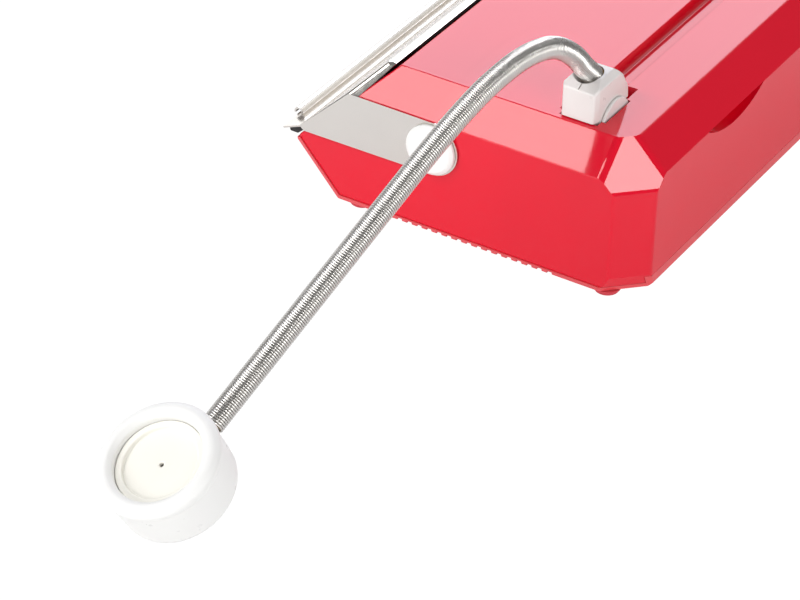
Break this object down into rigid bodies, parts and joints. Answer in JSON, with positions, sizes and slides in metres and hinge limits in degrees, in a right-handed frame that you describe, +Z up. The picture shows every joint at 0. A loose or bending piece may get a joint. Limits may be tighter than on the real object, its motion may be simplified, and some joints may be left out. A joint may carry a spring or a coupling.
{
  "type": "vacuum sealer",
  "caption": "Domestic vacuum sealer with a pivoting stainless lid over its sealing bar and a swivelling gooseneck hose that ends in a round vacuum cup for jars.",
  "frame": {"origin": "centre of the machine's footprint on the surface it stands on, under its feet, measured without the hose and cup", "axes": "+X along the machine towards the hose end, -Y towards the user at the front, +Z up"},
  "size_m": [0.843, 0.275, 0.1869],
  "materials": {
    "red_gloss": "high gloss moulded plastic",
    "red_rubber": "matt moulded rubber",
    "lid_steel": "satin stainless sheet",
    "hose_steel": "bright coil-wound stainless strip",
    "fitting_steel": "plain turned steel",
    "white_plastic": "satin moulded plastic",
    "white_seal": "soft white silicone",
    "cream_plastic": "fine matt moulded plastic",
    "black_rubber": "matt black rubber",
    "grey_plastic": "matt moulded plastic",
    "aluminium": "drawn and cast aluminium",
    "brass": "turned brass",
    "release_tape": "coated woven glass tape",
    "clear_silicone": "translucent silicone",
    "dark_plastic": "satin black plastic",
    "lamp_lens": "clear tinted lens",
    "board_green": "varnished circuit board",
    "motor_steel": "zinc plated laminations and can",
    "copper": "varnished copper winding"
  },
  "bodies": {
    "machine": {"upper_housing": "red_gloss", "base_tray": "red_gloss", "hose_socket": "red_gloss", "foot_front_right": "red_rubber", "foot_front_left": "red_rubber", "foot_rear_right": "red_rubber", "foot_rear_left": "red_rubber", "base_screw_1": "fitting_steel", "base_screw_2": "fitting_steel", "base_screw_3": "fitting_steel", "base_screw_4": "fitting_steel", "pivot_pin_right": "fitting_steel", "pivot_pin_left": "fitting_steel", "heating_strip": "fitting_steel", "pivot_cap_right": "white_plastic", "pivot_cap_left": "white_plastic", "chamber_gasket": "black_rubber", "vacuum_chamber": "grey_plastic", "sealing_bar": "aluminium", "pump_frame": "aluminium", "pump_cylinder": "aluminium", "pump_head": "aluminium", "pivot_collar_right": "brass", "pivot_collar_left": "brass", "inlet_pin_right": "brass", "inlet_pin_left": "brass", "release_tape": "release_tape", "suction_tube": "clear_silicone", "control_panel": "dark_plastic", "switch_frame": "dark_plastic", "power_inlet": "dark_plastic", "tact_switch_vacuum": "dark_plastic", "tact_switch_seal": "dark_plastic", "lamp_vacuum": "lamp_lens", "lamp_seal": "lamp_lens", "circuit_board": "board_green", "transformer_core": "motor_steel", "pump_motor": "motor_steel", "transformer_coil": "copper"},
    "lid_assembly": {"lid": "lid_steel", "front_seal": "black_rubber", "pressure_strip": "clear_silicone", "lid_gasket": "black_rubber"},
    "hose_assembly": {"hose_block": "white_plastic", "trunnion_front": "white_plastic", "trunnion_rear": "white_plastic", "hose_ferrule": "brass", "vacuum_hose": "hose_steel", "cup_body": "white_plastic", "cup_seal": "white_seal", "cup_disc": "cream_plastic", "cup_ferrule": "brass"},
    "vacuum_key": {"button_vacuum": "white_plastic"},
    "seal_key": {"button_seal": "white_plastic"},
    "power_key": {"power_rocker": "dark_plastic"},
    "motor_rotor": {"motor_shaft": "fitting_steel", "cooling_fan": "dark_plastic", "pump_crank": "fitting_steel"},
    "pump_piston": {"piston": "dark_plastic", "piston_rod": "fitting_steel"}
  },
  "joints": [
    {"name": "lid_hinge", "type": "hinge", "parent": "machine", "child": "lid_assembly", "pos_m": [0, -0.0184, 0.0695], "axis": [-1, 0, 0], "range_deg": [0, 90]},
    {"name": "hose_swivel", "type": "hinge", "parent": "machine", "child": "hose_assembly", "pos_m": [0.1715, 0.0744, 0.1003], "axis": [0, -1, 0], "range_deg": [0, 50]},
    {"name": "vacuum_press", "type": "slide", "parent": "machine", "child": "vacuum_key", "axis": [0, 0, -1], "range_m": [0, 0.002], "stiffness_N_per_m": 800},
    {"name": "seal_press", "type": "slide", "parent": "machine", "child": "seal_key", "axis": [0, 0, -1], "range_m": [0, 0.002], "stiffness_N_per_m": 800},
    {"name": "power_rock", "type": "hinge", "parent": "machine", "child": "power_key", "pos_m": [-0.172, 0.1315, 0.045], "axis": [1, 0, 0], "range_deg": [0, 14]},
    {"name": "motor_spin", "type": "hinge", "parent": "machine", "child": "motor_rotor", "pos_m": [0.05, 0.02, 0.045], "axis": [1, 0, 0], "continuous": true},
    {"name": "piston_stroke", "type": "slide", "parent": "machine", "child": "pump_piston", "axis": [0, 1, 0], "range_m": [0, 0.012]}
  ]
}
